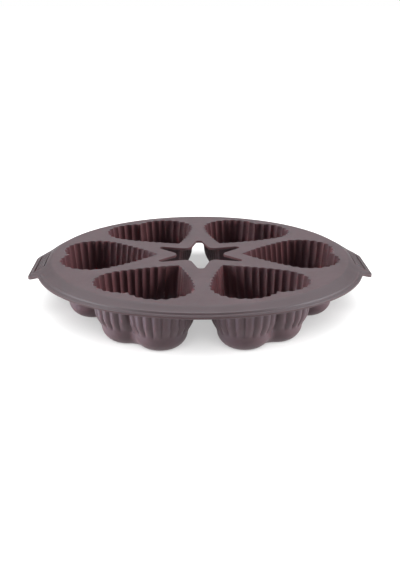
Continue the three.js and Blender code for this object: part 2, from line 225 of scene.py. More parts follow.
class GripSizes(PropertyGroup):
    """Sizes of the two grip tabs."""

    edge: length("Edge", "Distance of the tab's straight edge from the middle", TAB_EDGE)
    root_angle: angle("Root angle", "Half the angle that a tab takes out of the brim", 15.0)
    half_width: length("Half width", "Half the length of the straight edge", 0.025)
    corner: length("Corner", "Rounding of the tab's corners", 0.0036)
    root_round: length("Root round", "Rounding where the tab runs into the brim", 0.002)
    drop: length("Drop", "Drop of the straight edge below the deck", 0.0091)
    lip_height: length("Lip height", "Height of the tab's outer face", 0.0039)
    panel_half_length: length("Panel half length", "Half the length of the sunk panel", 0.0185)
    panel_margin: length("Panel margin", "Panel to the straight edge", 0.0042)
    panel_width: length("Panel width", "Width of the sunk panel", 0.0090)
    panel_depth: length("Panel depth", "How deep the panel is sunk", 0.0007)
    panel_border: length("Panel border", "Width of each flank of the groove round the panel", 0.0004)
    panel_groove: length("Panel groove", "Width of the groove round the panel", 0.0012)
    groove_depth: length("Groove depth", "Depth of that groove below the panel", 0.0006)
    ribs: whole("Ribs", "Ribs in a panel", 4)
    rib_height: length("Rib height", "Height of a rib over the panel", 0.0007)
    rib_flatness: share("Rib flatness", "1 gives round ribs, less flattens them", 0.6)


class SiliconeLook(PropertyGroup):
    """Colour and finish of the moulded silicone."""

    wall_dark: colour("Wall, dark", "Darker patches of the walls", (0.091, 0.040, 0.044))
    wall_light: colour("Wall, light", "Lighter patches of the walls", (0.105, 0.047, 0.052))
    # The top colours are greyer than the wall colours: a painted sheen in place of the sky's reflection on
    # faces that look up.
    painted_sheen_dark: colour("Top, dark", "Darker patches of the faces that look up", (0.071, 0.045, 0.050))
    painted_sheen_light: colour("Top, light", "Lighter patches of the faces that look up", (0.083, 0.053, 0.059))
    smooth: share("Smoothest", "Lowest roughness", 0.46)
    rough: share("Roughest", "Highest roughness", 0.56)
    gleam: share("Gleam", "Strength of the reflections", 1.0)
    gleam_tint: colour("Gleam tint", "Tint of reflections that are seen head on", (0.84, 0.84, 0.90))
    passing: share("Passing light", "Share of the light that passes through the surface", 0.25)
    reach: length("Reach", "How far red light gets under the surface", 0.002)
    reach_tint: colour("Reach tint", "Reach of red, green and blue light as shares", (1.0, 0.3, 0.3))
    patch: length("Patch", "Size of the patches of colour", 0.02)
    grain: length("Grain", "Size of the fine grain left by the tool", 0.0006)
    grain_height: length("Grain height", "Height of the grain", 0.00002)


class StageLook(PropertyGroup):
    """Floor, light and camera."""

    floor_size: length("Floor size", "Side of the floor", 30.0)
    floor_colour: colour("Floor colour", "Colour of the floor", (0.45, 0.45, 0.45))
    floor_light: number("Floor light", "Strength of the floor's own light", 11.0)
    floor_glow: number("Floor glow", "Light that the floor itself gives", 0.34)
    floor_spread: angle("Floor spread", "Apparent width of the floor's own light", 70.0)
    floor_height: angle("Floor light height", "Height of the floor's own light over the floor", 42.0)
    sky: number("Sky", "Strength of the light from all round", 0.12)
    sky_back: number("Light wall", "Strength of the light wall behind the mould", 1.98)
    side_light: number("Side lights", "Strength of the side lights on deck and cups", 4.2)
    edge_light: number("Edge lights", "Strength of the side lights on brim and grips", 3.0)
    side_spread: angle("Side spread", "Apparent width of a side light", 34.0)
    side_turn: angle("Side turn", "How far the side lights stand in front of the mould's middle", 3.0)
    side_height: angle("Side height", "Height of the side lights over the floor", 29.0)
    low_light: number("Low lights", "Strength of the two low lights", 2.0)
    low_balance: share("Low balance", "How much stronger the left low light is", 0.35)
    low_spread: angle("Low spread", "Apparent width of a low light", 30.0)
    low_turn: angle("Low turn", "How far the low lights stand in front of the mould's middle", 3.0)
    low_height: angle("Low height", "Height of the low lights, as if the floor threw them back", -8.0)
    low_tint: colour("Low tint", "Colour of the low lights", (0.78, 0.80, 0.96))
    distance: length("Distance", "Camera to the middle of the deck", 0.6712)
    elevation: angle("Elevation", "Camera's height over the deck", 17.17)
    heading: angle("Heading", "Turn of the camera round the mould", 1.25)
    pitch: angle("Pitch", "How far the camera looks down", 19.32)
    lens: FloatProperty(
        name="Lens", description="Focal length", default=52.61, unit="CAMERA", subtype="DISTANCE_CAMERA"
    )


def mix(a, b, at):
    """The value `at` of the way from a to b."""
    return a + (b - a) * at


def even_steps(start, end, count):
    """Values from a start to an end in even steps, with both of them."""
    return [mix(start, end, i / count) for i in range(count + 1)]


def clamp(value):
    """The value, held between 0 and 1."""
    return min(1.0, max(0.0, value))


def smooth_min(a, b, reach):
    """The smaller of two values, rounded off where they are closer than `reach`."""
    near = max(reach - abs(a - b), 0.0) / reach
    return min(a, b) - near * near * reach / 4


def smooth_max(a, b, reach):
    """The larger of two values, rounded off where they are closer than `reach`."""
    return -smooth_min(-a, -b, reach)


def averaged(function, at, reach):
    """Mean of a function over a stretch from `reach` before a place to `reach` after it."""
    places = even_steps(at - reach, at + reach, SOFTENING_SAMPLES - 1)
    return sum(function(place) for place in places) / SOFTENING_SAMPLES


def on_circle(centre, radius, turn):
    """Point on a circle in the flat."""
    return Vector((centre.x + radius * math.cos(turn), centre.y + radius * math.sin(turn)))


class Heart:
    """Outline of a cup in its own axes: u outwards from the mould's middle, v across the cup."""

    def __init__(self, cup, deck):
        self.cup = cup
        half_sector = math.pi / cup.count
        lobe_reach = cup.lobe_radius + deck.web_width / 2
        lobe_u = (lobe_reach + cup.lobe_spread * math.cos(half_sector)) / math.sin(half_sector)
        self.lobe = Vector((lobe_u, cup.lobe_spread))
        self.tip = Vector((lobe_u - cup.tip_length, 0.0))
        self.notch = Vector((lobe_u + math.sqrt(cup.lobe_radius**2 - cup.lobe_spread**2), 0.0))
        self.notch_angle = math.asin(cup.lobe_spread / cup.lobe_radius)
        self.side = self.side_centre()
        to_lobe = self.lobe - self.side
        self.side_end = math.atan2(to_lobe.y, to_lobe.x)
        self.to_notch = cup.flutes / 2
        self.flutes_per_lobe = self.to_notch - cup.flutes_per_side
        self.lobe_pitch = (self.side_end + self.notch_angle) / self.flutes_per_lobe
        self.last_groove = self.lobe_pitch - self.notch_angle

    def side_centre(self):
        """Centre of the side arc that starts at the tip and runs smoothly into the lobe."""
        cup = self.cup
        along = self.lobe - self.tip
        span = along.length
        along.normalize()
        inner = cup.side_radius - cup.lobe_radius
        near = (cup.side_radius**2 - inner**2 + span**2) / (2 * span)
        away = math.sqrt(cup.side_radius**2 - near**2)
        return self.tip + along * near + Vector((along.y, -along.x)) * away

    def half_point(self, flute, inset):
        """Point of the half v > 0, `inset` inside the mouth, at a place counted in flutes from the tip."""
        cup = self.cup
        if flute < cup.flutes_per_side:
            radius = cup.side_radius - inset
            start = math.pi - math.asin(-self.side.y / radius)
            return on_circle(self.side, radius, mix(start, self.side_end, flute / cup.flutes_per_side))
        radius = cup.lobe_radius - inset
        lobe_flute = flute - cup.flutes_per_side
        last = lobe_flute - (self.flutes_per_lobe - 1)
        if last <= 0:
            return on_circle(self.lobe, radius, self.side_end - lobe_flute * self.lobe_pitch)
        if inset <= 0:
            notch_turn = -math.asin(cup.lobe_spread / radius)
            return on_circle(self.lobe, radius, mix(self.last_groove, notch_turn, last))
        on_lobe = radius * self.lobe_pitch
        run = last * (on_lobe + inset * self.notch_angle)
        if run < on_lobe:
            return on_circle(self.lobe, radius, self.last_groove - run / radius)
        return on_circle(self.notch, inset, math.pi - self.notch_angle + (run - on_lobe) / inset)

    def point(self, flute, inset):
        """Point of the whole outline, counter-clockwise from the tip."""
        half = self.half_point(min(flute, self.cup.flutes - flute), inset)
        if flute < self.to_notch:
            half.y = -half.y
        return half

    def places(self):
        """Places round the outline, in flutes from the tip, closer together at the grooves."""
        turn = 2 * math.pi
        steps = (i / POINTS_PER_FLUTE for i in range(self.cup.flutes * POINTS_PER_FLUTE))
        return [at - GATHER_AT_GROOVES * math.sin(turn * (at - self.to_notch)) / turn for at in steps]

    def outline(self, inset):
        """Plain outline without flutes."""
        return [self.point(place, inset) for place in self.places()]


class Level(NamedTuple):
    """One level of a cup's wall: depth under the deck's top, inset from the mouth, share of the flutes."""

    depth: float
    inset: float
    flute_share: float
    inner: bool
    sharp: bool = False


def quarter_turns():
    """Steps of a quarter turn."""
    return even_steps(0.0, math.pi / 2, ROUND_STEPS)


def rounded_levels(start, radius, crest, inner):
    """Levels of a quarter round that runs from a flat face into a wall."""
    levels = []
    for turn in quarter_turns():
        depth = start + radius * (1 - math.cos(turn))
        levels.append(Level(depth, crest(depth) - radius * (1 - math.sin(turn)), 1.0, inner))
    return levels


def wall_levels(cup, start, inward):
    """Levels of the outer (inward 0) or inner wall from `start` down to the flat floor."""
    inner = inward > 0
    taper = math.tan(cup.draft)
    end = cup.flute_length - inward / 2
    base = end * taper - cup.wall + inward + cup.end_bend
    fillet = cup.base_fillet - inward
    fillet_top = DECK_TOP - cup.base_fillet

    def profile(depth):
        """Inset of the plain wall at a depth."""
        into_fillet = clamp((depth - fillet_top) / fillet)
        rounded = base + fillet * (1 - math.sqrt(1 - into_fillet**2))
        if depth >= end:
            return rounded
        bend = max(0.0, 1 - (end - depth) / cup.end_height)
        return depth * taper - cup.wall + inward + cup.end_bend * bend**cup.bend_curve

    def groove(depth):
        """Share of the flutes that is left at a depth."""
        spent = clamp((depth - end + cup.runout) / cup.runout)
        return 1 - spent**2

    bend_start = end - cup.end_height
    base_start = max(end + cup.softening, fillet_top)
    stretches = (
        (start, bend_start, STRAIGHT_LEVELS),
        (bend_start, end, BEND_LEVELS),
        (end, base_start, BASE_LEVELS),
    )
    levels = []
    for top, bottom, count in stretches:
        for depth in even_steps(top, bottom, count)[1:]:
            levels.append(Level(depth, averaged(profile, depth, cup.softening), groove(depth), inner))
    first_turn = math.asin((base_start - fillet_top) / fillet)
    for turn in even_steps(first_turn, math.pi / 2, FILLET_LEVELS)[1:]:
        inset = base + fillet * (1 - math.cos(turn))
        levels.append(Level(fillet_top + fillet * math.sin(turn), inset, 0.0, inner))
    levels.append(Level(fillet_top + fillet, base + fillet + cup.mouth_round, 0.0, inner))
    return levels


def cup_levels(cup, deck):
    """All levels of a cup, from its floor up the outer wall, over the mouth and down the inner wall."""
    taper = math.tan(cup.draft)
    root = rounded_levels(deck.thickness, cup.root_fillet, lambda depth: depth * taper - cup.wall, False)
    outer = root + wall_levels(cup, root[-1].depth, 0.0)
    mouth = rounded_levels(0.0, cup.mouth_round, lambda depth: depth * taper, True)
    collar = [
        Level(deck.thickness, -cup.collar, 0.0, False, sharp=True),
        Level(0.0, -cup.collar, 0.0, False, sharp=True),
        Level(0.0, -cup.mouth_round * HOLD, 1.0, True),
    ]
    return outer[::-1] + collar + mouth + wall_levels(cup, mouth[-1].depth, cup.wall)


def ring_edges(ring):
    """Edges of a closed ring of points."""
    return {frozenset(pair) for pair in zip(ring, (*ring[1:], ring[0]))}


def band(above, below):
    """Faces between two closed rings of as many points."""
    sides = list(zip(above, below))
    return [(a, b, d, c) for (a, c), (b, d) in zip(sides, sides[1:] + sides[:1])]


def loft(name, rings, sharp_rings=(), sharp_lines=()):
    """Closed mesh through rings of as many points each, capped at both ends."""
    count = len(rings[0])
    rows = [range(k * count, (k + 1) * count) for k in range(len(rings))]
    gaps = list(zip(rows, rows[1:]))
    faces = [tuple(rows[0]), tuple(rows[-1])]
    for above, below in gaps:
        faces += band(above, below)
    sharp = set()
    for k in sharp_rings:
        sharp |= ring_edges(rows[k])
    for i in sharp_lines:
        sharp |= {frozenset((above[i], below[i])) for above, below in gaps}
    return new_mesh(name, [point for ring in rings for point in ring], faces, sharp)


def new_mesh(name, vertices, faces, sharp):
    """Mesh with its faces turned outwards and shaded smooth, and some edges kept sharp."""
    mesh = bpy.data.meshes.new(name)
    mesh.from_pydata(vertices, [], faces)
    shape = bmesh.new()
    shape.from_mesh(mesh)
    bmesh.ops.recalc_face_normals(shape, faces=shape.faces)
    for face in shape.faces:
        face.smooth = True
    for edge in shape.edges:
        edge.smooth = frozenset(v.index for v in edge.verts) not in sharp
    shape.to_mesh(mesh)
    shape.free()
    return mesh


def store(mesh, name, values, kind="FLOAT"):
    """Writes one value, or the three of a vector, for each point of a mesh."""
    field = "vector" if kind == "FLOAT_VECTOR" else "value"
    mesh.attributes.new(name, kind, "POINT").data.foreach_set(field, values)


def feed(tree, socket, value):
    """Links a socket to another one, or sets its value."""
    if isinstance(value, bpy.types.NodeSocket):
        tree.links.new(value, socket)
    else:
        socket.default_value = value


def feed_all(tree, node, values):
    """Feeds some inputs of a node, which are named or numbered."""
    for label, value in values.items():
        feed(tree, node.inputs[label], value)
    return node


def add_node(tree, kind, values):
    """A new node with some inputs fed."""
    return feed_all(tree, tree.nodes.new(kind), values)


def maths(tree, operation, *values):
    """One math node on sockets or numbers."""
    node = add_node(tree, "ShaderNodeMath", dict(enumerate(values)))
    node.operation = operation
    return node.outputs[0]


def blend(tree, a, b, at):
    """The value `at` of the way from a to b, as nodes."""
    return maths(tree, "MULTIPLY_ADD", maths(tree, "SUBTRACT", b, a), at, a)


def ramp(tree, value, between, reach=(0.0, 1.0)):
    """Smooth rise from one value to another while the input runs between two places."""
    bounds = dict(zip(("From Min", "From Max", "To Min", "To Max"), (*between, *reach)))
    node = add_node(tree, "ShaderNodeMapRange", {"Value": value, **bounds})
    node.interpolation_type = "SMOOTHSTEP"
    return node.outputs[0]


def named(tree, name, kind="FLOAT"):
    """Reads a point attribute."""
    node = add_node(tree, "GeometryNodeInputNamedAttribute", {"Name": name})
    node.data_type = kind
    return node.outputs["Attribute"]


def new_tree(name, numbers):
    """Node tree that takes a shell, some numbers, a turn and a material, and gives a piece."""
    tree = bpy.data.node_groups.new(name, "GeometryNodeTree")
    tree.interface.new_socket("Shell", in_out="INPUT", socket_type="NodeSocketGeometry")
    for label in (*numbers, "Turn"):
        tree.interface.new_socket(label, in_out="INPUT", socket_type="NodeSocketFloat")
    tree.interface.new_socket("Material", in_out="INPUT", socket_type="NodeSocketMaterial")
    tree.interface.new_socket("Piece", in_out="OUTPUT", socket_type="NodeSocketGeometry")
    return tree, tree.nodes.new("NodeGroupInput").outputs


def finish_tree(tree, given, offset):
    """Moves the points by an offset, turns the piece into its place and gives it its material."""
    turn = add_node(tree, "ShaderNodeCombineXYZ", {"Z": given["Turn"]})
    geometry = given["Shell"]
    steps = {
        "GeometryNodeSetPosition": {"Offset": offset},
        "GeometryNodeTransform": {"Rotation": turn.outputs[0]},
        "GeometryNodeRealizeInstances": {},
        "GeometryNodeSetMaterial": {"Material": given["Material"]},
    }
    for kind, values in steps.items():
        geometry = add_node(tree, kind, {"Geometry": geometry, **values}).outputs[0]
    add_node(tree, "NodeGroupOutput", {"Piece": geometry})


def flute_tree():
    """Pushes a cup's plain wall into ribs with narrow grooves, and inside into scallops with ridges."""
    tree, given = new_tree("Cup flutes", (*CUP_INPUTS, "to_notch"))
    place = named(tree, FLUTE_PLACE)
    wave = maths(tree, "SINE", maths(tree, "MULTIPLY", place, math.pi))
    squared = maths(tree, "MULTIPLY", wave, wave)
    round_squared = maths(tree, "MULTIPLY", given["groove_round"], given["groove_round"])
    inner = named(tree, INNER_WALL)
    crest = maths(tree, "SQRT", maths(tree, "ADD", squared, round_squared))
    crest = maths(tree, "POWER", crest, blend(tree, given["rib_flatness"], 1.0, inner))
    scallop = maths(tree, "SUBTRACT", 1.0, crest)
    from_tip = maths(tree, "SUBTRACT", given["to_notch"], place)
    fade_length = blend(tree, given["tip_fade_outside"], given["tip_fade"], inner)
    fade = maths(tree, "MINIMUM", maths(tree, "DIVIDE", from_tip, fade_length), 1.0)
    depth = blend(tree, given["depth_outside"], given["depth_inside"], inner)
    faded = maths(tree, "MULTIPLY", maths(tree, "MULTIPLY", scallop, fade), named(tree, FLUTE_SHARE))
    push = tree.nodes.new("ShaderNodeVectorMath")
    push.operation = "SCALE"
    feed(tree, push.inputs[0], named(tree, TO_GROOVE, "FLOAT_VECTOR"))
    feed(tree, push.inputs["Scale"], maths(tree, "MULTIPLY", faded, depth))
    finish_tree(tree, given, push.outputs[0])
    return tree


def rib_tree():
    """Sinks the panel of a grip tab and raises its ribs."""
    tree, given = new_tree("Grip ribs", GRIP_INPUTS)
    distance = named(tree, PANEL_DISTANCE)
    groove_end = maths(tree, "SUBTRACT", given["panel_groove"], given["panel_border"])
    outer_flank = ramp(tree, distance, (0.0, given["panel_border"]))
    inner_flank = ramp(tree, distance, (groove_end, given["panel_groove"]))
    wave = maths(tree, "SINE", maths(tree, "MULTIPLY", named(tree, RIB_PLACE), math.pi))
    rib = maths(tree, "POWER", maths(tree, "ABSOLUTE", wave), given["rib_flatness"])
    raised = maths(tree, "MULTIPLY_ADD", rib, given["rib_height"], given["groove_depth"])
    deepest = maths(tree, "ADD", given["panel_depth"], given["groove_depth"])
    up = maths(tree, "MULTIPLY", raised, inner_flank)
    sunk = maths(tree, "SUBTRACT", up, maths(tree, "MULTIPLY", deepest, outer_flank))
    push = add_node(tree, "ShaderNodeCombineXYZ", {"Z": sunk})
    finish_tree(tree, given, push.outputs[0])
    return tree


def run_tree(name, shell, tree, sizes, turn):
    """Runs a node tree on a shell and leaves the result as a plain mesh on a new object."""
    values = {**sizes, "Turn": turn, "Material": silicone(bpy.context.scene.mould_silicone)}
    piece = bpy.data.objects.new(name, shell)
    bpy.context.scene.collection.objects.link(piece)
    modifier = piece.modifiers.new(tree.name, "NODES")
    modifier.node_group = tree
    for item in tree.interface.items_tree:
        if item.in_out == "INPUT" and item.name in values:
            modifier[item.identifier] = values[item.name]
    graph = bpy.context.evaluated_depsgraph_get()
    mesh = bpy.data.meshes.new_from_object(piece.evaluated_get(graph), depsgraph=graph)
    piece.modifiers.clear()
    piece.data = mesh
    mesh.name = name
    for attribute in ATTRIBUTES:
        if attribute in mesh.attributes:
            mesh.attributes.remove(mesh.attributes[attribute])
    return piece


def join_frame(piece, nodes, group):
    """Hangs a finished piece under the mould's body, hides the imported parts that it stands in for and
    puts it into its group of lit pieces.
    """
    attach(piece, BODY)
    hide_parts(*nodes)
    collect(piece, group)


def collect(piece, name):
    """Puts a piece into a collection that lights can be kept to."""
    group = bpy.data.collections.get(name) or bpy.data.collections.new(name)
    group.objects.link(piece)


def new_material(name):
    """A material with nodes, its node tree and its shader."""
    material = bpy.data.materials.new(name)
    material.use_nodes = True
    return material, material.node_tree, material.node_tree.nodes["Principled BSDF"]


def silicone(look):
    """Satin silicone: dull brown with faint patches, a fine tool grain and a pale painted sheen on upward
    faces, in place of the sky's reflection.
    """
    existing = bpy.data.materials.get(MATERIAL)
    if existing:
        return existing
    material, tree, shader = new_material(MATERIAL)
    coordinates = tree.nodes.new("ShaderNodeTexCoord").outputs
    place = coordinates["Object"]

    # Faces that look up turn towards the greyer top colours: painted sheen of the sky's reflection.
    upward = add_node(tree, "ShaderNodeSeparateXYZ", {0: coordinates["Normal"]})
    painted_sheen = ramp(tree, upward.outputs["Z"], FACING, (0.0, FACING_SHARE))
    patches = noise(tree, place, look.patch, PATCH_DETAIL)
    tint = tree.nodes.new("ShaderNodeValToRGB")
    stops = tint.color_ramp.elements
    stops[0].position, stops[1].position = TINT_STOPS[0], TINT_STOPS[3]
    stops.new(TINT_STOPS[1])
    stops.new(TINT_STOPS[2])
    for stop, shade in zip(stops, (look.wall_dark, look.wall_light, look.painted_sheen_dark, look.painted_sheen_light)):
        stop.color = (*shade, 1.0)
    feed(tree, tint.inputs["Fac"], maths(tree, "MULTIPLY_ADD", patches, 1 - FACING_SHARE, painted_sheen))

    shine = noise(tree, place, look.patch / GLOSS_PATCHES, FINE_DETAIL)
    span = {"To Min": look.smooth, "To Max": look.rough}
    gloss = add_node(tree, "ShaderNodeMapRange", {"Value": shine, **span})
    height = noise(tree, place, look.grain, FINE_DETAIL)
    grain = add_node(tree, "ShaderNodeBump", {"Distance": look.grain_height, "Height": height})
    inputs = {
        "Base Color": tint.outputs["Color"],
        "Roughness": gloss.outputs[0],
        "Normal": grain.outputs[0],
        "Subsurface Weight": look.passing,
        "Subsurface Scale": look.reach,
        "Subsurface Radius": look.reach_tint,
        "IOR": SILICONE_IOR,
        "Specular IOR Level": look.gleam,
        "Specular Tint": (*look.gleam_tint, 1.0),
    }
    feed_all(tree, shader, inputs)
    return material


def noise(tree, place, size, detail):
    """Noise with patches of a given size."""
    inputs = {"Vector": place, "Scale": 1 / size, "Detail": detail}
    return add_node(tree, "ShaderNodeTexNoise", inputs).outputs["Fac"]


def cup_shell(heart, levels):
    """Plain wall of a cup without flutes, with what the flute tree has to know at each point."""
    places = heart.places()
    rings = []
    to_groove = []
    for level in levels:
        depth = heart.cup.depth_inside if level.inner else heart.cup.depth_outside
        ring = [heart.point(place, level.inset) for place in places]
        groove = [heart.point(place, level.inset + depth) for place in places]
        rings.append([(p.x, p.y, DECK_TOP - level.depth) for p in ring])
        for p, g in zip(ring, groove):
            to_groove += [(g.x - p.x) / depth, (g.y - p.y) / depth, 0.0]
    mesh = loft("cup_shell", rings, [k for k, level in enumerate(levels) if level.sharp])
    store(mesh, FLUTE_PLACE, [abs(place - heart.to_notch) for place in places] * len(levels))
    store(mesh, FLUTE_SHARE, [level.flute_share for level in levels for _ in places])
    store(mesh, INNER_WALL, [float(level.inner) for level in levels for _ in places])
    store(mesh, TO_GROOVE, to_groove, "FLOAT_VECTOR")
    return mesh


class Rim:
    """The ring of brim and grips: where its outer edge runs and what its section looks like."""

    def __init__(self, scene):
        self.brim = scene.mould_brim
        self.grip = scene.mould_grip
        self.thickness = scene.mould_deck.thickness
        self.deck_radius = deck_radius(scene)
        root = on_circle(MIDDLE, self.brim.rim_radius, self.grip.root_angle)
        corner = Vector((self.grip.edge, self.grip.half_width))
        along = (corner - root).normalized()
        self.root_x = root.x
        self.flank = Vector((-along.y, along.x))
        self.flank_reach = self.flank.dot(corner)

    def edge_radius(self, turn):
        """Distance of the outer edge from the middle, in a direction."""
        folded = abs((turn + math.pi / 2) % math.pi - math.pi / 2)
        brim, grip = self.brim, self.grip
        if folded > TAB_REACH * grip.root_angle:
            return brim.rim_radius
        straight = grip.edge / math.cos(folded)
        across = self.flank.x * math.cos(folded) + self.flank.y * math.sin(folded)
        tab = smooth_min(straight, self.flank_reach / across, grip.corner)
        return smooth_max(brim.rim_radius, tab, grip.root_round)

    def tab_share(self, turn):
        """0 on the brim, 1 along the straight edge of a tab."""
        reach = self.edge_radius(turn) * abs(math.cos(turn))
        past_root = (reach - self.root_x) / (self.grip.edge - self.root_x)
        return clamp(smooth_max(0.0, past_root, TAB_EASE))

    def edge_drop(self, turn):
        """Drop of the slope at the outer edge."""
        brim = self.brim.drop + self.brim.sway * math.cos(2 * turn)
        return mix(brim, self.grip.drop, self.tab_share(turn))

    def slope(self, at, width, drop):
        """Height of the slope at a distance from the deck."""
        bend = self.brim.bend
        soft = (math.hypot(at, bend) - bend) / (math.hypot(width, bend) - bend)
        return DECK_TOP - drop * (1 - (1 - soft) ** self.brim.curve)

    def relief(self, setback):
        """Ridge, ledge and lip: height over the slope at a distance from the outer edge."""
        brim = self.brim
        corners = (
            (brim.ridge_setback + brim.ridge_width, 0.0),
            (brim.ridge_setback, brim.ridge_height),
            (brim.ledge_setback, -brim.ledge_step),
            (brim.lip_setback, -brim.ledge_step),
            (brim.lip_setback * LIP_FOOT, -brim.lip_step),
        )
        if setback >= corners[0][0]:
            return 0.0
        for (far, far_height), (near, near_height) in zip(corners, corners[1:]):
            if setback >= near:
                return mix(far_height, near_height, (far - setback) / (far - near))
        return -brim.lip_step

    def section(self, turn):
        """Section as [distance from the deck, height], over the top and back underneath."""
        brim = self.brim
        width = self.edge_radius(turn) - self.deck_radius
        drop = self.edge_drop(turn)
        tilt = self.edge_tilt(turn)
        lip = brim.lip_round

        def soft_relief(at):
            """Relief at a distance from the deck, rounded off."""
            return averaged(self.relief, (width - at) * tilt, brim.softening)

        points = []
        for at in even_steps(0.0, width - lip, SECTION_STEPS):
            points.append((at, self.slope(at, width, drop) + soft_relief(at)))
        top = points[-1][1]
        bottom = DECK_TOP - drop - mix(brim.lip_height, self.grip.lip_height, self.tab_share(turn))
        points += quarter(width - lip, top - lip, lip, math.pi / 2, 0.0)[1:]
        points += quarter(width - lip, bottom + lip, lip, 0.0, -math.pi / 2)
        inner = width - brim.lip_width
        points += quarter(inner + lip, bottom + lip, lip, -math.pi / 2, -math.pi)
        for at in even_steps(inner, 0.0, UNDERSIDE_STEPS):
            points.append((at, self.slope(at, width, drop) + min(0.0, soft_relief(at)) - self.thickness))
        return points

    def edge_tilt(self, turn):
        """Cosine of the angle between the edge's normal and the direction from the middle."""
        step = GRIP_STEP_ANGLE
        radius = self.edge_radius(turn)
        along = (self.edge_radius(turn + step) - self.edge_radius(turn - step)) / (2 * step)
        return radius / math.hypot(radius, along)

    def turns(self):
        """Directions of the sections: of the right grip, and of the brim's back run."""
        root = self.grip.root_angle
        grip = even_steps(-root, root, 2 * round(root / GRIP_STEP_ANGLE))
        brim = even_steps(root, math.pi - root, round((math.pi - 2 * root) / BRIM_STEP_ANGLE))
        return grip, brim

    def run(self, name, turns):
        """Closed mesh through the sections of a run."""
        rings = []
        for turn in turns:
            points = [(self.deck_radius + at, height) for at, height in self.section(turn)]
            rings.append([(r * math.cos(turn), r * math.sin(turn), z) for r, z in points])
        return loft(name, rings, (0, len(rings) - 1), (0, len(rings[0]) - 1))


def quarter(x, z, radius, start, end):
    """Points of an arc in a section."""
    turns = even_steps(start, end, ROUND_STEPS)
    return [(x + radius * math.cos(turn), z + radius * math.sin(turn)) for turn in turns]


def deck_radius(scene):
    """Radius of the flat deck: the cups and the margin outside them."""
    cup = scene.mould_cup
    heart = Heart(cup, scene.mould_deck)
    return heart.lobe.length + cup.lobe_radius + scene.mould_deck.margin


def star_outline(heart, deck, inset):
    """Outline of the star, `inset` into the deck, counter-clockwise."""
    half_sector = math.pi / heart.cup.count
    inner = heart.tip.x - deck.star_bridge
    corner = Vector((inner + deck.corner_round, 0.0))
    end = on_circle(MIDDLE, inner + deck.star_arm - deck.arm_round, half_sector)
    across = end - corner
    lean = math.acos((deck.corner_round + deck.arm_round) / across.length)
    touch = math.atan2(across.y, across.x) + lean
    corner_turns = even_steps(math.pi, touch, STAR_ROUND_STEPS)
    arm_turns = even_steps(touch - math.pi, half_sector, STAR_ROUND_STEPS)
    half = [on_circle(corner, deck.corner_round - inset, turn) for turn in corner_turns]
    half += [on_circle(end, deck.arm_round + inset, turn) for turn in arm_turns]
    mirror = [on_circle(MIDDLE, p.length, 2 * half_sector - math.atan2(p.y, p.x)) for p in half]
    arm = half + mirror[-2:0:-1]
    outline = []
    for k in range(heart.cup.count):
        spin = Matrix.Rotation(2 * half_sector * k, 2)
        outline += [spin @ p for p in arm]
    return outline


def deck_mesh(scene):
    """Flat deck with a hole for each cup's collar and a star with rounded edges."""
    deck = scene.mould_deck
    heart = Heart(scene.mould_cup, deck)
    radius = deck_radius(scene)
    grip, brim = Rim(scene).turns()
    half_turns = grip[:-1] + brim[:-1]
    turns = half_turns + [turn + math.pi for turn in half_turns]
    loops = [[on_circle(MIDDLE, radius, turn) for turn in turns]]
    collar = heart.outline(-scene.mould_cup.collar)
    for k in range(heart.cup.count):
        spin = Matrix.Rotation(2 * math.pi * k / heart.cup.count, 2)
        loops.append([spin @ p for p in collar])
    loops.append(star_outline(heart, deck, HOLD * deck.edge_round))

    flat = [[p.to_3d() for p in loop] for loop in loops]
    triangles = tessellate_polygon(flat)
    outline = [p for loop in flat for p in loop]
    total = len(outline)
    bottom = DECK_TOP - deck.thickness
    vertices = [(p.x, p.y, DECK_TOP) for p in outline] + [(p.x, p.y, bottom) for p in outline]
    faces = [tuple(t) for t in triangles] + [tuple(i + total for i in t) for t in triangles]
    sharp = set()
    start = 0
    for loop in loops[:-1]:
        above = range(start, start + len(loop))
        below = range(start + total, start + total + len(loop))
        faces += band(above, below)
        sharp |= ring_edges(above) | ring_edges(below)
        start += len(loop)

    edge = deck.edge_round
    upper = [(edge * (1 - math.sin(t)), DECK_TOP - edge * (1 - math.cos(t))) for t in quarter_turns()]
    lower = [(inset, bottom + DECK_TOP - z) for inset, z in reversed(upper)]
    rings = [range(start, total)]
    for inset, z in upper + lower:
        rings.append(range(len(vertices), len(vertices) + len(loops[-1])))
        vertices += [(p.x, p.y, z) for p in star_outline(heart, deck, inset)]
    rings.append(range(start + total, 2 * total))
    for above, below in zip(rings, rings[1:]):
        faces += band(above, below)
    return new_mesh("star_deck", vertices, faces, sharp)


def add_piece(name, mesh, nodes, group):
    """Shows a finished mesh as a piece of the part."""
    piece = bpy.data.objects.new(name, mesh)
    bpy.context.scene.collection.objects.link(piece)
    mesh.materials.append(silicone(bpy.context.scene.mould_silicone))
    join_frame(piece, nodes, group)


class MOULD_OT_fluted_cups(Operator):
    """Builds the fluted heart cups, each with the flat collar round its mouth"""

    bl_idname = "mould.fluted_cups"
    bl_label = "Fluted heart cups"

    def execute(self, context):
        scene = context.scene
        cup = scene.mould_cup
        heart = Heart(cup, scene.mould_deck)
        levels = cup_levels(cup, scene.mould_deck)
        tree = flute_tree()
        sizes = {label: getattr(cup, label) for label in CUP_INPUTS}
        sizes["to_notch"] = heart.to_notch
        for k in range(cup.count):
            turn = 2 * math.pi * k / cup.count
            piece = run_tree(f"fluted_cup_{k + 1}", cup_shell(heart, levels), tree, sizes, turn)
            join_frame(piece, [f"heart_cup_{k + 1}"], INSIDE)
            collect(piece, CUPS)
        return {"FINISHED"}


class MOULD_OT_star_deck(Operator):
    """Builds the flat deck with its star opening"""

    bl_idname = "mould.star_deck"
    bl_label = "Star deck"

    def execute(self, context):
        webs = [f"deck_web_{k + 1}" for k in range(context.scene.mould_cup.count)]
        add_piece("star_deck", deck_mesh(context.scene), webs, INSIDE)
        return {"FINISHED"}


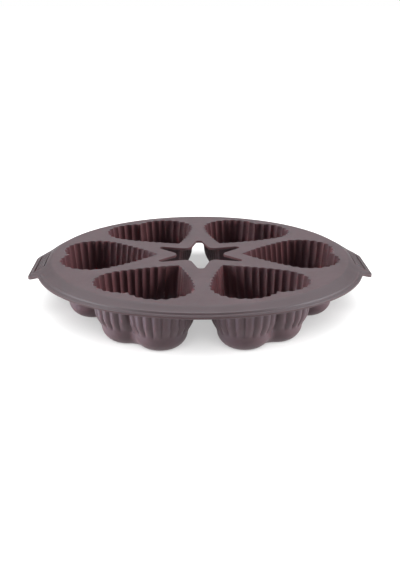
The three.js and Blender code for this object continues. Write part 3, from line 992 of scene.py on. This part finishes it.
class MOULD_OT_brim_runs(Operator):
    """Builds the two runs of the sloping brim"""

    bl_idname = "mould.brim_runs"
    bl_label = "Brim runs"

    def execute(self, context):
        rim = Rim(context.scene)
        _, turns = rim.turns()
        for side, turn in (("back", 0.0), ("front", math.pi)):
            name = f"brim_run_{side}"
            mesh = rim.run(name, turns)
            mesh.transform(Matrix.Rotation(turn, 4, "Z"))
            add_piece(name, mesh, [f"brim_{side}"], EDGE)
        return {"FINISHED"}


class MOULD_OT_grip_tabs(Operator):
    """Builds the two grip tabs with their ribbed panels"""

    bl_idname = "mould.grip_tabs"
    bl_label = "Grip tabs"

    def execute(self, context):
        scene = context.scene
        grip = scene.mould_grip
        rim = Rim(scene)
        turns, _ = rim.turns()
        tree = rib_tree()
        sizes = {label: getattr(grip, label) for label in GRIP_INPUTS}
        for side, turn in (("right", 0.0), ("left", math.pi)):
            shell = rim.run("tab_shell", turns)
            self.mark_panel(shell, grip, len(turns))
            piece = run_tree(f"grip_tab_{side}", shell, tree, sizes, turn)
            join_frame(piece, [f"grip_{side}"], EDGE)
        return {"FINISHED"}

    def mark_panel(self, shell, grip, sections):
        """Stores how far each point lies inside the panel, and where it lies across the ribs."""
        outer = grip.edge - grip.panel_margin
        inner = outer - grip.panel_width
        per_section = len(shell.vertices) // sections
        distance = []
        place = []
        for i, vertex in enumerate(shell.vertices):
            x, y, _ = vertex.co
            within = min(outer - x, x - inner, grip.panel_half_length - abs(y))
            on_top = i % per_section <= SECTION_STEPS
            distance.append(within if on_top else OFF_PANEL)
            place.append((x - inner) / grip.panel_width * (grip.ribs + 2 * SIDE_STRIP) - SIDE_STRIP)
        store(shell, PANEL_DISTANCE, distance)
        store(shell, RIB_PLACE, place)


class MOULD_OT_stage(Operator):
    """Sets up the pale floor, the soft light and the camera"""

    bl_idname = "mould.stage"
    bl_label = "Stage"

    def execute(self, context):
        scene = context.scene
        look = scene.mould_stage
        self.add_floor(scene, look)
        self.add_sky(scene, look)
        self.add_side_lights(scene, look)
        self.add_camera(scene, look)
        scene.view_settings.view_transform = "Standard"
        return {"FINISHED"}

    def add_floor(self, scene, look):
        """The pale floor, with a light that falls on it alone."""
        half = look.floor_size / 2
        mesh = bpy.data.meshes.new("floor")
        corners = [(-half, -half, 0.0), (half, -half, 0.0), (half, half, 0.0), (-half, half, 0.0)]
        mesh.from_pydata(corners, [], [(0, 1, 2, 3)])
        inputs = {
            "Base Color": (*look.floor_colour, 1.0),
            "Roughness": FLOOR_ROUGHNESS,
            "Specular IOR Level": 0.0,
            "Emission Color": WHITE,
            "Emission Strength": look.floor_glow,
        }
        material, tree, shader = new_material("Pale floor")
        feed_all(tree, shader, inputs)
        mesh.materials.append(material)
        floor = bpy.data.objects.new("floor", mesh)
        floor.visible_diffuse = False
        floor.visible_shadow = False
        scene.collection.objects.link(floor)
        collect(floor, FLOOR)
        light = self.add_sun(scene, "floor_light", look.floor_light, look.floor_spread, FLOOR)
        self.aim(light, 1.0, math.pi / 2, look.floor_height)

    def add_sun(self, scene, name, strength, spread, group):
        """A far light of a given apparent width, kept to one collection."""
        lamp = bpy.data.lights.new(name, "SUN")
        lamp.energy = strength
        lamp.angle = spread
        light = bpy.data.objects.new(name, lamp)
        light.light_linking.receiver_collection = bpy.data.collections[group]
        scene.collection.objects.link(light)
        return light

    def aim(self, light, across, turn, height):
        """Lets a far light come from the right (across 1) or left (-1), turned to the front and raised."""
        flat = math.cos(height)
        towards = Vector((across * flat * math.cos(turn), -flat * math.sin(turn), math.sin(height)))
        light.rotation_mode = "QUATERNION"
        light.rotation_quaternion = towards.to_track_quat("Z", "Y")

    def add_sky(self, scene, look):
        """Weak light from all round and a light wall at the back, seen as plain white."""
        sky = bpy.data.worlds.new("Soft sky")
        sky.use_nodes = True
        tree = sky.node_tree
        background = tree.nodes["Background"]
        direction = tree.nodes.new("ShaderNodeTexCoord").outputs["Generated"]
        _, y, z = add_node(tree, "ShaderNodeSeparateXYZ", {0: direction}).outputs
        wall = ramp(tree, y, LIGHT_WALL_BACK, (0.0, look.sky_back))
        wall = maths(tree, "MULTIPLY", wall, ramp(tree, z, LIGHT_WALL_UP))
        light = maths(tree, "MAXIMUM", wall, look.sky)
        seen = tree.nodes.new("ShaderNodeLightPath").outputs["Is Camera Ray"]
        feed_all(tree, background, {"Strength": blend(tree, light, 1.0, seen), "Color": WHITE})
        scene.world = sky

    def add_side_lights(self, scene, look):
        """Side lights, which gleam on the edge alone, and low lights on the cups, as if thrown back."""
        strengths = (("side", look.side_light, INSIDE), ("edge", look.edge_light, EDGE))
        for side, across in (("right", 1.0), ("left", -1.0)):
            for name, strength, group in strengths:
                high = self.add_sun(scene, f"{name}_light_{side}", strength, look.side_spread, group)
                self.aim(high, across, look.side_turn, look.side_height)
                high.visible_glossy = group == EDGE
            strength = look.low_light * (1 - across * look.low_balance)
            low = self.add_sun(scene, f"low_light_{side}", strength, look.low_spread, CUPS)
            self.aim(low, across, look.low_turn, look.low_height)
            low.data.color = look.low_tint

    def add_camera(self, scene, look):
        """The camera at the fitted place, looking down on the mould."""
        lens = bpy.data.cameras.new("camera")
        lens.lens = look.lens
        camera = bpy.data.objects.new("camera", lens)
        flat = look.distance * math.cos(look.elevation)
        camera.location = (
            -flat * math.sin(look.heading),
            -flat * math.cos(look.heading),
            DECK_TOP + look.distance * math.sin(look.elevation),
        )
        down = Quaternion((1.0, 0.0, 0.0), math.pi / 2 - look.pitch)
        camera.rotation_mode = "QUATERNION"
        camera.rotation_quaternion = Quaternion((0.0, 0.0, 1.0), -look.heading) @ down
        scene.collection.objects.link(camera)
        scene.camera = camera


class MOULD_PT_pieces(Panel):
    """Lists the pieces of the mould"""

    bl_label = "Heart muffin mould"
    bl_space_type = "VIEW_3D"
    bl_region_type = "UI"
    bl_category = "Mould"

    def draw(self, context):
        """Draws one button for each operator."""
        for operator in OPERATORS:
            self.layout.operator(operator.bl_idname)


OPERATORS = (
    MOULD_OT_fluted_cups,
    MOULD_OT_star_deck,
    MOULD_OT_brim_runs,
    MOULD_OT_grip_tabs,
    MOULD_OT_stage,
)

SETTINGS = {
    "mould_cup": CupSizes,
    "mould_deck": DeckSizes,
    "mould_brim": BrimSizes,
    "mould_grip": GripSizes,
    "mould_silicone": SiliconeLook,
    "mould_stage": StageLook,
}


def register():
    """Registers the settings, the operators and the panel."""
    for name, group in SETTINGS.items():
        bpy.utils.register_class(group)
        setattr(bpy.types.Scene, name, PointerProperty(type=group))
    for operator in OPERATORS:
        bpy.utils.register_class(operator)
    bpy.utils.register_class(MOULD_PT_pieces)


def unregister():
    """Takes everything back that register added."""
    bpy.utils.unregister_class(MOULD_PT_pieces)
    for operator in reversed(OPERATORS):
        bpy.utils.unregister_class(operator)
    for name, group in reversed(SETTINGS.items()):
        delattr(bpy.types.Scene, name)
        bpy.utils.unregister_class(group)


def main():
    """Builds the mould and its stage."""
    register()
    bpy.ops.mould.fluted_cups()
    bpy.ops.mould.star_deck()
    bpy.ops.mould.brim_runs()
    bpy.ops.mould.grip_tabs()
    bpy.ops.mould.stage()


if __name__ == "__main__":
    main()
